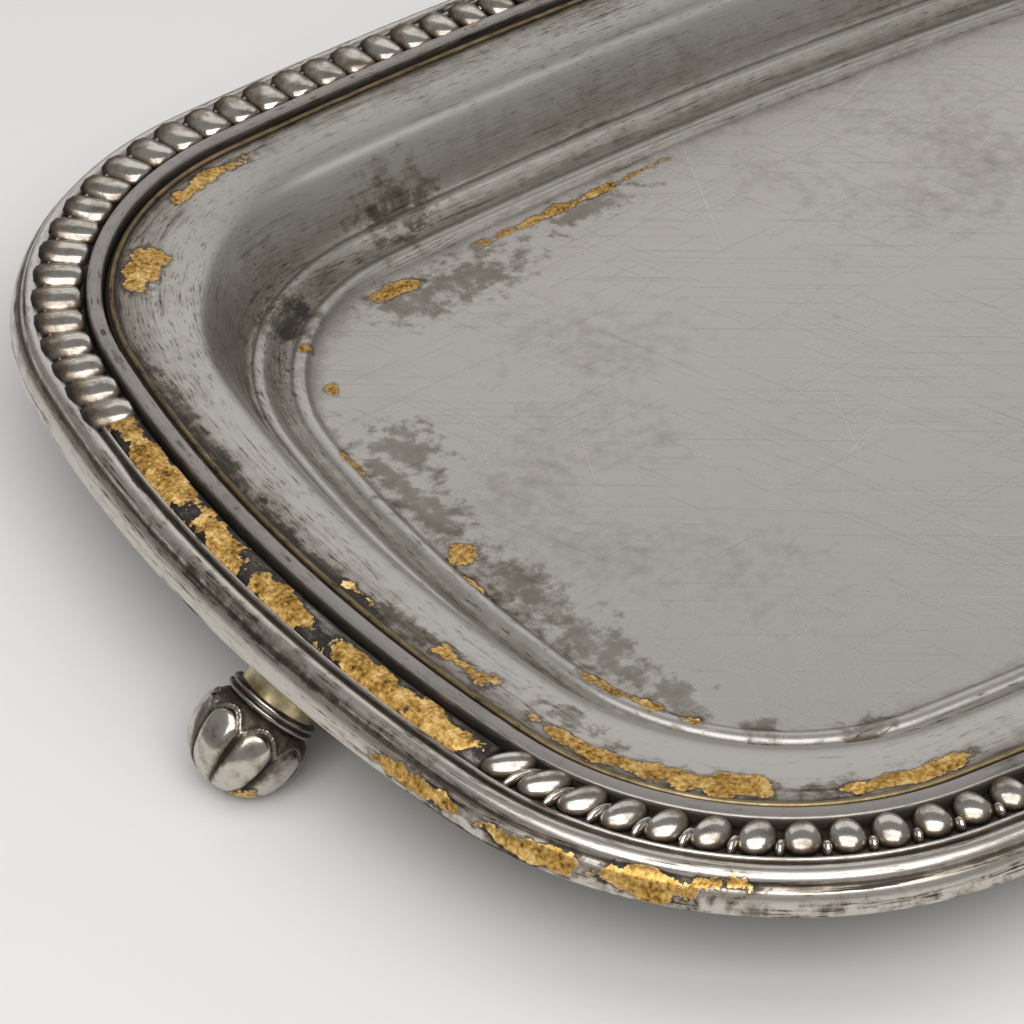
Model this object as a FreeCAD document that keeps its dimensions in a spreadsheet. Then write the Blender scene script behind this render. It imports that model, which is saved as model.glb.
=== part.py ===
import FreeCAD, Part
import math
import os

import Sketcher

# A footed vanity tray of plated brass: a pressed sheet with a stepped well, a stamped rim
# moulding with beaded strips and two plain panels, and four lobed feet on curved brackets.
#
# Frame: origin under the middle of the tray on the surface it stands on, +X along the length,
# +Y across, +Z up.  Outlines are measured from the ridge line, the crest of the flat-topped
# wire: "inset" runs inwards from it, "outset" outwards, "depth" downwards from its crest.

SIZES = [
    # the ridge line: a rounded rectangle of eight tangent arcs, all four sides slightly bowed
    ("ridge_height", 22.0),
    ("ridge_half_length", 113.0),
    ("ridge_half_width", 75.0),
    ("end_bow", 210.0),
    ("side_bow", 713.0),
    ("ridge_corner", 38.5),
    # pressed sheet: stations down the inside of the well, each inset, depth and corner radius
    ("sheet_thick", 0.8),
    ("outside_share", 0.6),
    ("flange_outset", 7.65),
    ("flange_depth", 2.4),
    ("flange_inset", 2.05),
    ("lip_foot_inset", 1.05),
    ("lip_crest_inset", 1.15),
    ("lip_inset", 1.6),
    ("lip_depth", 0.9),
    ("lip_corner", 36.9),
    ("border_inset", 6.5),
    ("border_depth", 1.35),
    ("border_corner", 35.6),
    ("shoulder_inset", 10.0),
    ("shoulder_depth", 2.5),
    ("shoulder_corner", 35.0),
    ("wall_inset", 12.6),
    ("wall_depth", 5.4),
    ("wall_corner", 34.7),
    ("hollow_inset", 14.5),
    ("hollow_depth", 9.2),
    ("hollow_corner", 34.3),
    ("ledge_inset", 15.7),
    ("ledge_depth", 10.3),
    ("ledge_corner", 34.1),
    ("ledge_end_inset", 17.7),
    ("ledge_end_depth", 10.7),
    ("ledge_end_corner", 33.0),
    ("step_inset", 18.3),
    ("step_depth", 11.5),
    ("step_corner", 32.6),
    ("step_end_inset", 21.5),
    ("step_end_depth", 11.8),
    ("step_end_corner", 29.5),
    ("floor_inset", 22.1),
    ("floor_depth", 12.4),
    ("floor_corner", 28.9),
    # stamped rim moulding, outwards from the ridge
    ("bed_start", 1.1),
    ("bed_end", 5.7),
    ("bed_depth", 1.9),
    ("thin_ridge_start", 5.95),
    ("thin_ridge_end", 6.4),
    ("thin_ridge_depth", 0.7),
    ("groove_outset", 6.75),
    ("groove_depth", 1.4),
    ("roll_outset", 7.7),
    ("roll_depth", 0.75),
    ("roll_end_outset", 8.7),
    ("roll_end_depth", 1.3),
    ("apron_mid_outset", 9.7),
    ("apron_mid_depth", 2.6),
    ("apron_outset", 10.1),
    ("apron_depth", 5.0),
    ("apron_thick", 0.6),
    # wires
    ("rim_wire_radius", 0.75),
    ("rim_wire_outset", 8.45),
    ("ridge_foot_width", 2.0),
    ("ridge_crest_width", 1.6),
    ("fillet_radius", 0.4),
    ("fillet_inset", 2.05),
    ("fillet_slope", 0.1),
    # beaded strips and plain panels, both on a centre line in the middle of the bead channel
    ("bead_outset", 3.4),
    ("strip_width", 4.5),
    ("strip_thick", 0.5),
    ("bead_radius", 2.1),
    ("bead_rise", 1.7),
    ("bead_count", 59.0),
    ("panel_near", 40.1),
    ("panel_far", 29.3),
    ("panel_edge", 0.5),
    ("panel_rise", 1.5),
    ("panel_gap", 0.1),
    # feet
    ("foot_reach", 9.9),
    ("end_foot_shift", 9.15),
    ("foot_tilt", 47.0),
    ("bud_radius", 6.6),
    ("bud_neck_radius", 5.0),
    ("bud_tip_radius", 2.2),
    ("bud_tip_bulge", 0.2),
    ("bud_above", 3.5),
    ("bud_below", 6.35),
    ("bud_centre_height", 6.2),
    ("lobe_count", 8.0),
    ("lobe_groove_radius", 1.0),
    ("collar_radius", 5.6),
    ("collar_thick", 1.6),
    ("neck_radius", 4.6),
    ("pad_outset", 1.7),
    ("pad_width", 11.4),
    ("pad_length", 16.0),
    ("pad_thick", 1.2),
    ("pad_corner", 3.0),
    ("stud_radius", 1.5),
    ("stud_clearance", 0.05),
    ("stud_in_bud", 6.0),
    ("stud_in_neck", 4.0),
    ("stud_chamfer", 0.3),
]

doc = FreeCAD.newDocument("vanity_tray")
sheet = doc.addObject("Spreadsheet::Sheet", "sizes")
for row, (alias, value) in enumerate(SIZES, start=1):
    sheet.set(f"A{row}", alias)
    sheet.set(f"B{row}", str(value))
    sheet.setAlias(f"B{row}", alias)
doc.recompute()


def size(alias):
    """The number in one cell of the sheet."""
    return float(getattr(sheet, alias))


def plane(body, role):
    """One of a body's own origin planes, such as XY_Plane."""
    for feature in body.Origin.OriginFeatures:
        if feature.Role == role:
            return feature
    raise ValueError(role)


def new_sketch(body, name, role, height=None):
    """A sketch on an origin plane, lifted along its normal by an expression."""
    sketch = body.newObject("Sketcher::SketchObject", name)
    sketch.AttachmentSupport = [(plane(body, role), "")]
    sketch.MapMode = "FlatFace"
    if height:
        sketch.setExpression("AttachmentOffset.Base.z", height)
    return sketch


def drive(sketch, kind, geometry, expression, value):
    """Add a driving constraint and bind it to the sheet."""
    index = sketch.addConstraint(Sketcher.Constraint(kind, *geometry, value))
    name = f"d{index}"
    sketch.renameConstraint(index, name)
    sketch.setExpression(f"Constraints.{name}", expression)


# --- outlines: eight tangent arcs -------------------------------------------------------------

def corner_centre(half_length, half_width, end_radius, side_radius, corner):
    """Centre of the corner arc that touches the right end arc and the back side arc."""
    end = FreeCAD.Vector(half_length - end_radius, 0, 0)
    side = FreeCAD.Vector(0, half_width - side_radius, 0)
    to_end = end_radius - corner
    to_side = side_radius - corner
    span = side - end
    along = (to_end**2 - to_side**2 + span.Length**2) / (2 * span.Length)
    across = math.sqrt(to_end**2 - along**2)
    unit = FreeCAD.Vector(span).normalize()
    normal = FreeCAD.Vector(-unit.y, unit.x, 0)
    found = [end + unit * along + normal * across, end + unit * along - normal * across]
    return max(found, key=lambda centre: centre.x + centre.y)


def outline_arcs(inset, corner):
    """Eight arcs, anticlockwise from the right end, at an inset from the ridge line."""
    half_length = size("ridge_half_length") - inset
    half_width = size("ridge_half_width") - inset
    end_radius = size("end_bow") - inset
    side_radius = size("side_bow") - inset
    centre = corner_centre(half_length, half_width, end_radius, side_radius, corner)
    end_centre = FreeCAD.Vector(half_length - end_radius, 0, 0)
    side_centre = FreeCAD.Vector(0, half_width - side_radius, 0)
    end_turn = math.atan2(centre.y, centre.x - end_centre.x)
    side_turn = math.atan2(centre.y - side_centre.y, centre.x)
    half_turn = math.pi
    spans = [
        (end_centre, end_radius, -end_turn, end_turn),
        (centre, corner, end_turn, side_turn),
        (side_centre, side_radius, side_turn, half_turn - side_turn),
        (FreeCAD.Vector(-centre.x, centre.y, 0), corner, half_turn - side_turn,
         half_turn - end_turn),
        (-end_centre, end_radius, half_turn - end_turn, half_turn + end_turn),
        (-centre, corner, half_turn + end_turn, half_turn + side_turn),
        (-side_centre, side_radius, half_turn + side_turn, 2 * half_turn - side_turn),
        (FreeCAD.Vector(centre.x, -centre.y, 0), corner, 2 * half_turn - side_turn,
         2 * half_turn - end_turn),
    ]
    up = FreeCAD.Vector(0, 0, 1)
    return [
        Part.ArcOfCircle(Part.Circle(at, up, radius), start, stop)
        for at, radius, start, stop in spans
    ]


def outline_sketch(body, name, inset, corner, depth):
    """A closed outline whose inset, corner and depth are expressions on the sheet."""
    sketch = new_sketch(body, name, "XY_Plane", f"sizes.ridge_height - ({depth})")
    sketch.addGeometry(outline_arcs(evaluate(inset), evaluate(corner)), False)
    for arc in range(8):
        sketch.addConstraint(Sketcher.Constraint("Tangent", arc, 2, (arc + 1) % 8, 1))
    for arc, axis in ((0, -1), (2, -2), (4, -1), (6, -2)):
        sketch.addConstraint(Sketcher.Constraint("PointOnObject", arc, 3, axis))
    for arc in (1, 3, 5, 7):
        drive(sketch, "Radius", (arc,), corner, evaluate(corner))
    for arc, bow, half, kind in (
        (0, "end_bow", "ridge_half_length", "DistanceX"),
        (2, "side_bow", "ridge_half_width", "DistanceY"),
        (4, "end_bow", "ridge_half_length", "DistanceX"),
        (6, "side_bow", "ridge_half_width", "DistanceY"),
    ):
        drive(sketch, "Radius", (arc,), f"sizes.{bow} - ({inset})", size(bow) - evaluate(inset))
        ends = (arc, 3, -1, 1) if arc < 4 else (-1, 1, arc, 3)
        drive(sketch, kind, ends, f"sizes.{bow} - sizes.{half}", size(bow) - size(half))
    return sketch


def evaluate(expression):
    """The value of a sheet expression, for a sketch's first geometry."""
    return float(sheet.evalExpression(expression))


def new_body(label):
    body = doc.addObject("PartDesign::Body", f"{label}_body")
    body.Label = label
    return body


# --- the pressed sheet ------------------------------------------------------------------------

STATIONS = [
    "lip", "border", "shoulder", "wall", "hollow", "ledge", "ledge_end", "step", "step_end", "floor",
]
OUTSIDE_SHIFT = "sizes.outside_share * sizes.sheet_thick"


def loft(body, kind, name, sketches):
    """A ruled additive or subtractive loft through a list of outlines."""
    feature = body.newObject(kind, name)
    feature.Profile = sketches[0]
    feature.Sections = sketches[1:]
    feature.Ruled = True
    for sketch in sketches:
        sketch.Visibility = False
    return feature


def make_tray_body():
    """Flat flange, raised lip, sloping border, wall, two steps and floor, one sheet throughout."""
    body = new_body("tray_body")
    under_flange = "sizes.flange_depth + sizes.sheet_thick"
    flange = body.newObject("PartDesign::Pad", "flange")
    flange.Profile = outline_sketch(
        body, "flange_outline", "-sizes.flange_outset", "sizes.ridge_corner + sizes.flange_outset",
        under_flange)
    flange.setExpression("Length", "sizes.sheet_thick")
    opening = body.newObject("PartDesign::Pocket", "flange_opening")
    opening.Profile = outline_sketch(
        body, "flange_opening_outline", "sizes.flange_inset", "sizes.ridge_corner - sizes.flange_inset",
        under_flange)
    opening.Type = "ThroughAll"
    opening.Midplane = True

    lip = [
        outline_sketch(body, "lip_foot", "sizes.lip_foot_inset",
                       "sizes.ridge_corner - sizes.lip_foot_inset", "sizes.flange_depth"),
        outline_sketch(body, "lip_crest", "sizes.lip_crest_inset",
                       "sizes.ridge_corner - sizes.lip_crest_inset", "sizes.lip_depth"),
    ]
    loft(body, "PartDesign::AdditiveLoft", "lip", lip)
    outside = [
        outline_sketch(body, f"{name}_outside", f"sizes.{name}_inset - {OUTSIDE_SHIFT}",
                       f"sizes.{name}_corner + {OUTSIDE_SHIFT}",
                       f"sizes.{name}_depth + sizes.sheet_thick")
        for name in STATIONS
    ]
    loft(body, "PartDesign::AdditiveLoft", "bowl", outside)
    inside = [
        outline_sketch(body, f"{name}_inside", f"sizes.{name}_inset", f"sizes.{name}_corner",
                       f"sizes.{name}_depth")
        for name in STATIONS
    ]
    loft(body, "PartDesign::SubtractiveLoft", "well", inside)
    return body


# --- strips that follow the ridge line all round -----------------------------------------------

RIDGE_DATUM = ("sizes.ridge_half_length", "sizes.ridge_height")


def closed_profile(body, name, points, arcs=(), datum=RIDGE_DATUM):
    """A closed section of straight edges and three-point arcs, every corner bound to the sheet.

    Each point is a pair of expressions, how far out and how far below the datum it lies.
    arcs maps the number of an edge to the expressions of a point that it passes through.
    """
    sketch = new_sketch(body, name, "XZ_Plane")
    arcs = dict(arcs)
    place = [section_point(point, datum) for point in points]
    at = [FreeCAD.Vector(evaluate(x), evaluate(z), 0) for x, z in place]
    for edge, start in enumerate(at):
        stop = at[(edge + 1) % len(at)]
        if edge in arcs:
            x, z = section_point(arcs[edge], datum)
            middle = FreeCAD.Vector(evaluate(x), evaluate(z), 0)
            sketch.addGeometry(three_point_arc(start, middle, stop), False)
        else:
            sketch.addGeometry(Part.LineSegment(start, stop), False)
    first = [1 if sketch.getPoint(edge, 1).isEqual(at[edge], 1e-6) else 2 for edge in range(len(at))]
    for edge in range(len(at)):
        following = (edge + 1) % len(at)
        sketch.addConstraint(Sketcher.Constraint(
            "Coincident", edge, 3 - first[edge], following, first[following]))
    for edge, (x, z) in enumerate(place):
        drive(sketch, "DistanceX", (-1, 1, edge, first[edge]), x, at[edge].x)
        drive(sketch, "DistanceY", (-1, 1, edge, first[edge]), z, at[edge].y)
    for edge, point in arcs.items():
        x, z = section_point(point, datum)
        middle = FreeCAD.Vector(evaluate(x), evaluate(z), 0)
        mark = sketch.addGeometry(Part.Point(middle), True)
        drive(sketch, "DistanceX", (-1, 1, mark, 1), x, middle.x)
        drive(sketch, "DistanceY", (-1, 1, mark, 1), z, middle.y)
        sketch.addConstraint(Sketcher.Constraint("PointOnObject", mark, 1, edge))
    return sketch


def section_point(point, datum):
    """Expressions for a section point's place, from its outset and its depth."""
    outset, depth = point
    across, height = datum
    return f"{across} + ({outset})", f"{height} - ({depth})"


def three_point_arc(start, middle, stop):
    """An arc about +Z through three points, whichever way they turn."""
    circle = Part.Circle(start, middle, stop)
    angles = [
        math.atan2(point.y - circle.Center.y, point.x - circle.Center.x)
        for point in (start, middle, stop)
    ]
    turn = (angles[1] - angles[0]) % (2 * math.pi)
    if turn > (angles[2] - angles[0]) % (2 * math.pi):
        angles.reverse()
    upright = Part.Circle(circle.Center, FreeCAD.Vector(0, 0, 1), circle.Radius)
    return Part.ArcOfCircle(upright, angles[0], angles[2])


def sweep_round(body, label, profile):
    """Sweep a section all the way round the ridge line."""
    spine = outline_sketch(body, f"{label}_path", "0", "sizes.ridge_corner", "0")
    pipe = body.newObject("PartDesign::AdditivePipe", f"{label}_sweep")
    pipe.Profile = profile
    pipe.Spine = (spine, [f"Edge{edge + 1}" for edge in range(8)])
    profile.Visibility = False
    spine.Visibility = False
    return body


def ring(label, points, arcs=()):
    """A piece with one section of edges and arcs all the way round."""
    body = new_body(label)
    return sweep_round(body, label, closed_profile(body, f"{label}_section", points, arcs))


def circle_sketch(body, name, role, height, centre, radius):
    """One circle, its centre and radius given as expressions."""
    sketch = new_sketch(body, name, role, height)
    across, along = centre
    at = FreeCAD.Vector(evaluate(across), evaluate(along), 0)
    sketch.addGeometry(Part.Circle(at, FreeCAD.Vector(0, 0, 1), evaluate(radius)), False)
    drive(sketch, "DistanceX", (-1, 1, 0, 3), across, at.x)
    drive(sketch, "DistanceY", (-1, 1, 0, 3), along, at.y)
    drive(sketch, "Radius", (0,), radius, evaluate(radius))
    return sketch


def make_rim_moulding():
    apron_inside = "sizes.apron_outset - sizes.apron_thick"
    points = [
        ("sizes.bed_start", "sizes.flange_depth"),
        ("sizes.bed_start", "sizes.bed_depth"),
        ("sizes.bed_end", "sizes.bed_depth"),
        ("sizes.thin_ridge_start", "sizes.thin_ridge_depth"),
        ("sizes.thin_ridge_end", "sizes.thin_ridge_depth"),
        ("sizes.groove_outset", "sizes.groove_depth"),
        ("sizes.roll_end_outset", "sizes.roll_end_depth"),
        ("sizes.apron_outset", "sizes.apron_depth"),
        (apron_inside, "sizes.apron_depth"),
        (f"{apron_inside} - sizes.apron_thick / 2", "sizes.flange_depth"),
    ]
    arcs = {
        5: ("sizes.roll_outset", "sizes.roll_depth"),
        6: ("sizes.apron_mid_outset", "sizes.apron_mid_depth"),
    }
    return ring("rim_moulding", points, arcs)


def make_ridge_wire():
    foot = "sizes.ridge_foot_width / 2"
    crest = "sizes.ridge_crest_width / 2"
    return ring("ridge_wire", [
        (f"-{foot}", "sizes.flange_depth"),
        (foot, "sizes.flange_depth"),
        (crest, "0"),
        (f"-{crest}", "0"),
    ])


def make_fillet_wire():
    base = "sizes.lip_depth + (sizes.fillet_inset - sizes.lip_inset) * sizes.fillet_slope"
    return ring("fillet_wire", [
        ("-sizes.fillet_inset - sizes.fillet_radius", base),
        ("-sizes.fillet_inset + sizes.fillet_radius", base),
    ], {0: ("-sizes.fillet_inset", f"{base} - sizes.fillet_radius")})


def make_rim_wire():
    """A round wire under the moulding, along the flange's edge."""
    body = new_body("rim_wire")
    centre = (
        "sizes.ridge_half_length + sizes.rim_wire_outset",
        "sizes.ridge_height - sizes.flange_depth - sizes.rim_wire_radius",
    )
    section = circle_sketch(body, "rim_wire_section", "XZ_Plane", None, centre, "sizes.rim_wire_radius")
    return sweep_round(body, "rim_wire", section)


# --- beaded strips and plain panels in the bead channel -----------------------------------------

def trimmed(arc, start, stop):
    """The same circle's arc between two angles."""
    return Part.ArcOfCircle(arc.Circle, start, stop)


def half_outline(outset):
    """Five arcs from the middle of the right end round the back to the middle of the left end."""
    arcs = outline_arcs(-outset, size("ridge_corner") + outset)[:5]
    arcs[0] = trimmed(arcs[0], 0, arcs[0].LastParameter)
    arcs[4] = trimmed(arcs[4], arcs[4].FirstParameter, math.pi)
    return arcs


def strip_path(outset):
    """The half outline less the two panels, which end on radial lines of the centre line's arcs."""
    arcs = half_outline(outset)
    centre_line = half_outline(size("bead_outset"))
    skipped = size("panel_near")
    while skipped > centre_line[0].length():
        skipped -= centre_line[0].length()
        centre_line.pop(0)
        arcs.pop(0)
    start = arcs[0].FirstParameter + skipped / centre_line[0].Radius
    arcs[0] = trimmed(arcs[0], start, arcs[0].LastParameter)
    stop = arcs[-1].LastParameter - size("panel_far") / centre_line[-1].Radius
    arcs[-1] = trimmed(arcs[-1], arcs[-1].FirstParameter, stop)
    return arcs


def edges_of(arcs):
    return [arc.toShape() for arc in arcs]


def points_along(arcs, count):
    """Points at the middle of count equal lengths of a path of arcs."""
    pitch = sum(arc.length() for arc in arcs) / count
    points = []
    travelled = 0.0
    for arc in arcs:
        while len(points) < count and (len(points) + 0.5) * pitch <= travelled + arc.length():
            along = (len(points) + 0.5) * pitch - travelled
            points.append(arc.value(arc.FirstParameter + along / arc.Radius))
        travelled += arc.length()
    return points


def make_bead_strip(label, turn):
    """A flat strip with a row of domed beads on it, made as one stamping."""
    lift = FreeCAD.Vector(0, 0, size("ridge_height") - size("bed_depth"))
    half = size("strip_width") / 2
    inner = edges_of(strip_path(size("bead_outset") - half))
    outer = edges_of(strip_path(size("bead_outset") + half))
    ends = [
        Part.makeLine(inner[0].firstVertex(True).Point, outer[0].firstVertex(True).Point),
        Part.makeLine(inner[-1].lastVertex(True).Point, outer[-1].lastVertex(True).Point),
    ]
    outline = Part.Wire(Part.__sortEdges__(inner + outer + ends))
    strip = Part.Face(outline).extrude(FreeCAD.Vector(0, 0, size("strip_thick")))
    sunk = size("bead_radius") - size("bead_rise")
    latitude = math.degrees(math.asin(sunk / size("bead_radius")))
    drop = FreeCAD.Vector(0, 0, size("strip_thick") - sunk)
    beads = [
        Part.makeSphere(size("bead_radius"), point + drop, FreeCAD.Vector(0, 0, 1), latitude, 90, 360)
        for point in points_along(strip_path(size("bead_outset")), int(size("bead_count")))
    ]
    piece = doc.addObject("Part::Feature", label)
    piece.Label = label
    piece.Shape = strip.fuse(beads)
    piece.Placement = FreeCAD.Placement(lift, FreeCAD.Rotation(FreeCAD.Vector(0, 0, 1), turn))
    return piece


def make_end_panel(label, turn):
    """A plain convex bar between the two strips, turned about the centre of the end's bow."""
    body = new_body(label)
    half = "sizes.strip_width / 2"
    section = closed_profile(
        body, f"{label}_section",
        [
            (f"sizes.bead_outset - {half}", "sizes.bed_depth"),
            (f"sizes.bead_outset + {half}", "sizes.bed_depth"),
            (f"sizes.bead_outset + {half}", "sizes.bed_depth - sizes.panel_edge"),
            (f"sizes.bead_outset - {half}", "sizes.bed_depth - sizes.panel_edge"),
        ],
        {2: ("sizes.bead_outset", "sizes.bed_depth - sizes.panel_rise")},
        datum=("sizes.end_bow", "sizes.ridge_height"))
    revolution = body.newObject("PartDesign::Revolution", f"{label}_bar")
    revolution.Profile = section
    revolution.ReferenceAxis = (section, ["V_Axis"])
    section.Visibility = False
    radius = "(sizes.end_bow + sizes.bead_outset)"
    span = "(sizes.panel_near + sizes.panel_far - 2 * sizes.panel_gap)"
    revolution.setExpression("Angle", f"{span} / {radius} * 180 / pi")
    start = -math.degrees((size("panel_far") - size("panel_gap")) / evaluate(radius))
    body.Placement = FreeCAD.Placement(
        FreeCAD.Rotation(FreeCAD.Vector(0, 0, 1), turn).multVec(
            FreeCAD.Vector(size("ridge_half_length") - size("end_bow"), 0, 0)),
        FreeCAD.Rotation(FreeCAD.Vector(0, 0, 1), turn + start))
    return body


# --- feet: each modelled with +X outwards and its origin on the ground under the ridge line -----

TO_COLLAR_TOP = "(sizes.bud_above + sizes.collar_thick)"
UNDER_PAD = "(sizes.ridge_height - sizes.flange_depth - sizes.sheet_thick - sizes.pad_thick)"
NECK_BEND = (f"(({UNDER_PAD} - sizes.bud_centre_height - {TO_COLLAR_TOP} * cos(sizes.foot_tilt))"
             " / sin(sizes.foot_tilt))")
NECK_CENTRE = (f"(sizes.foot_reach - {TO_COLLAR_TOP} * sin(sizes.foot_tilt)"
               f" + {NECK_BEND} * cos(sizes.foot_tilt))")


def bud_frame(foot):
    """Placement of the tilted axis: origin at the bud's centre, +Z towards the bracket."""
    tilt = FreeCAD.Rotation(FreeCAD.Vector(0, 1, 0), -size("foot_tilt"))
    return foot.multiply(FreeCAD.Placement(
        FreeCAD.Vector(size("foot_reach"), 0, size("bud_centre_height")), tilt))


def turned(body, name, points, arcs=()):
    """A full revolution about the body's Z axis of a section given as radius and drop."""
    section = closed_profile(body, f"{name}_section", points, arcs, datum=("0", "0"))
    revolution = body.newObject("PartDesign::Revolution", f"{name}_turned")
    revolution.Profile = section
    revolution.ReferenceAxis = (section, ["V_Axis"])
    revolution.Angle = 360
    section.Visibility = False
    return revolution


def make_foot_bud(label, foot):
    """A melon-shaped casting with grooves between its lobes, a blind bore and a small flat below."""
    body = doc.addObject("PartDesign::Body", f"{label}_body")
    turned(body, "bud", [
        ("0", "-sizes.bud_above"),
        ("sizes.bud_neck_radius", "-sizes.bud_above"),
        ("sizes.bud_tip_radius", "sizes.bud_below - sizes.bud_tip_bulge"),
        ("0", "sizes.bud_below"),
    ], {1: ("sizes.bud_radius", "0")})
    groove = body.newObject("PartDesign::Pocket", "lobe_groove")
    groove.Profile = circle_sketch(
        body, "lobe_groove_outline", "XY_Plane", None,
        ("(sizes.bud_radius + sizes.lobe_groove_radius / 2) * cos(180 / sizes.lobe_count)",
         "(sizes.bud_radius + sizes.lobe_groove_radius / 2) * sin(180 / sizes.lobe_count)"),
        "sizes.lobe_groove_radius")
    groove.Type = "ThroughAll"
    groove.Midplane = True
    doc.recompute()
    lobes = body.newObject("PartDesign::PolarPattern", "lobes")
    lobes.Originals = [groove]
    lobes.Axis = (groove.Profile[0], ["N_Axis"])
    lobes.Angle = 360
    lobes.setExpression("Occurrences", "sizes.lobe_count")
    body.Tip = lobes
    bore = body.newObject("PartDesign::Pocket", "stud_bore")
    bore.Profile = circle_sketch(
        body, "stud_bore_outline", "XY_Plane", "sizes.bud_above", ("0", "0"),
        "sizes.stud_radius + sizes.stud_clearance")
    bore.setExpression("Length", "sizes.stud_in_bud + sizes.stud_chamfer")
    body.Placement = bud_frame(foot)
    ground = doc.addObject("Part::Box", f"{label}_ground")
    ground.setExpression("Length", "4 * sizes.bud_radius")
    ground.setExpression("Width", "4 * sizes.bud_radius")
    ground.setExpression("Height", "sizes.bud_radius")
    corner = FreeCAD.Vector(-size("bud_radius"), -2 * size("bud_radius"), -size("bud_radius"))
    ground.Placement = foot.multiply(FreeCAD.Placement(corner, FreeCAD.Rotation()))
    return cut(label, body, ground)


def cut(label, base, tool):
    result = doc.addObject("Part::Cut", label)
    result.Label = label
    result.Base = base
    result.Tool = tool
    return result


def make_foot_collar(label, foot):
    """A turned ring with a rounded edge between the bud and its bracket."""
    body = new_body(label)
    bore = "sizes.stud_radius + sizes.stud_clearance"
    edge = "sizes.collar_radius - sizes.collar_thick / 2"
    top = f"-{TO_COLLAR_TOP}"
    turned(body, "collar", [
        (bore, "-sizes.bud_above"),
        (edge, "-sizes.bud_above"),
        (edge, top),
        (bore, top),
    ], {1: ("sizes.collar_radius", "-sizes.bud_above - sizes.collar_thick / 2")})
    body.Placement = bud_frame(foot)
    return body


def make_foot_bracket(label, foot):
    """A soldering pad under the flange and a neck that bends outwards to the collar."""
    body = doc.addObject("PartDesign::Body", f"{label}_body")
    pad = body.newObject("PartDesign::Pad", "soldering_pad")
    pad.Profile = rectangle_sketch(
        body, "pad_outline", UNDER_PAD, "sizes.pad_outset", "sizes.pad_width", "sizes.pad_length")
    pad.setExpression("Length", "sizes.pad_thick")
    doc.recompute()
    corners = [
        f"Edge{number}" for number, edge in enumerate(pad.Shape.Edges, start=1)
        if abs(edge.tangentAt(edge.FirstParameter).z) > 0.9
    ]
    rounding = body.newObject("PartDesign::Fillet", "pad_corners")
    rounding.Base = (pad, corners)
    rounding.setExpression("Radius", "sizes.pad_corner")

    section = circle_sketch(
        body, "neck_section", "XY_Plane", UNDER_PAD, (f"{NECK_CENTRE} - {NECK_BEND}", "0"),
        "sizes.neck_radius")
    path = new_sketch(body, "neck_path", "XZ_Plane")
    centre = FreeCAD.Vector(evaluate(NECK_CENTRE), evaluate(UNDER_PAD), 0)
    bend = Part.Circle(centre, FreeCAD.Vector(0, 0, 1), evaluate(NECK_BEND))
    turned_by = math.radians(size("foot_tilt"))
    path.addGeometry(Part.ArcOfCircle(bend, math.pi, math.pi + turned_by), False)
    drive(path, "DistanceX", (-1, 1, 0, 3), NECK_CENTRE, centre.x)
    drive(path, "DistanceY", (-1, 1, 0, 3), UNDER_PAD, centre.y)
    drive(path, "Radius", (0,), NECK_BEND, bend.Radius)
    path.addConstraint(Sketcher.Constraint("Horizontal", 0, 1, 0, 3))
    drop = f"{NECK_BEND} * sin(sizes.foot_tilt)"
    drive(path, "DistanceY", (0, 2, 0, 3), drop, evaluate(drop))
    neck = body.newObject("PartDesign::AdditivePipe", "neck")
    neck.Profile = section
    neck.Spine = (path, ["Edge1"])
    section.Visibility = False
    path.Visibility = False
    body.Placement = foot

    bore = doc.addObject("Part::Cylinder", f"{label}_bore")
    bore.setExpression("Radius", "sizes.stud_radius + sizes.stud_clearance")
    bore.setExpression("Height", "sizes.stud_in_neck + sizes.stud_chamfer")
    bore.Placement = bud_frame(foot).multiply(
        FreeCAD.Placement(FreeCAD.Vector(0, 0, evaluate(TO_COLLAR_TOP)), FreeCAD.Rotation()))
    return cut(label, body, bore)


def rectangle_sketch(body, name, height, centre, width, length):
    """A rectangle centred on a point of the X axis, all sizes as expressions."""
    sketch = new_sketch(body, name, "XY_Plane", height)
    low = f"{centre} - {width} / 2"
    high = f"{centre} + {width} / 2"
    half = f"{length} / 2"
    left, right, top = evaluate(low), evaluate(high), evaluate(half)
    corners = [
        FreeCAD.Vector(left, -top, 0), FreeCAD.Vector(right, -top, 0),
        FreeCAD.Vector(right, top, 0), FreeCAD.Vector(left, top, 0),
    ]
    for edge in range(4):
        sketch.addGeometry(Part.LineSegment(corners[edge], corners[(edge + 1) % 4]), False)
    for edge in range(4):
        sketch.addConstraint(Sketcher.Constraint("Coincident", edge, 2, (edge + 1) % 4, 1))
    for edge, kind in enumerate(("Horizontal", "Vertical", "Horizontal", "Vertical")):
        sketch.addConstraint(Sketcher.Constraint(kind, edge))
    drive(sketch, "DistanceX", (-1, 1, 0, 1), low, left)
    drive(sketch, "DistanceX", (-1, 1, 1, 1), high, right)
    drive(sketch, "DistanceY", (0, 1, -1, 1), half, top)
    drive(sketch, "DistanceY", (-1, 1, 2, 1), half, top)
    return sketch


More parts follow.
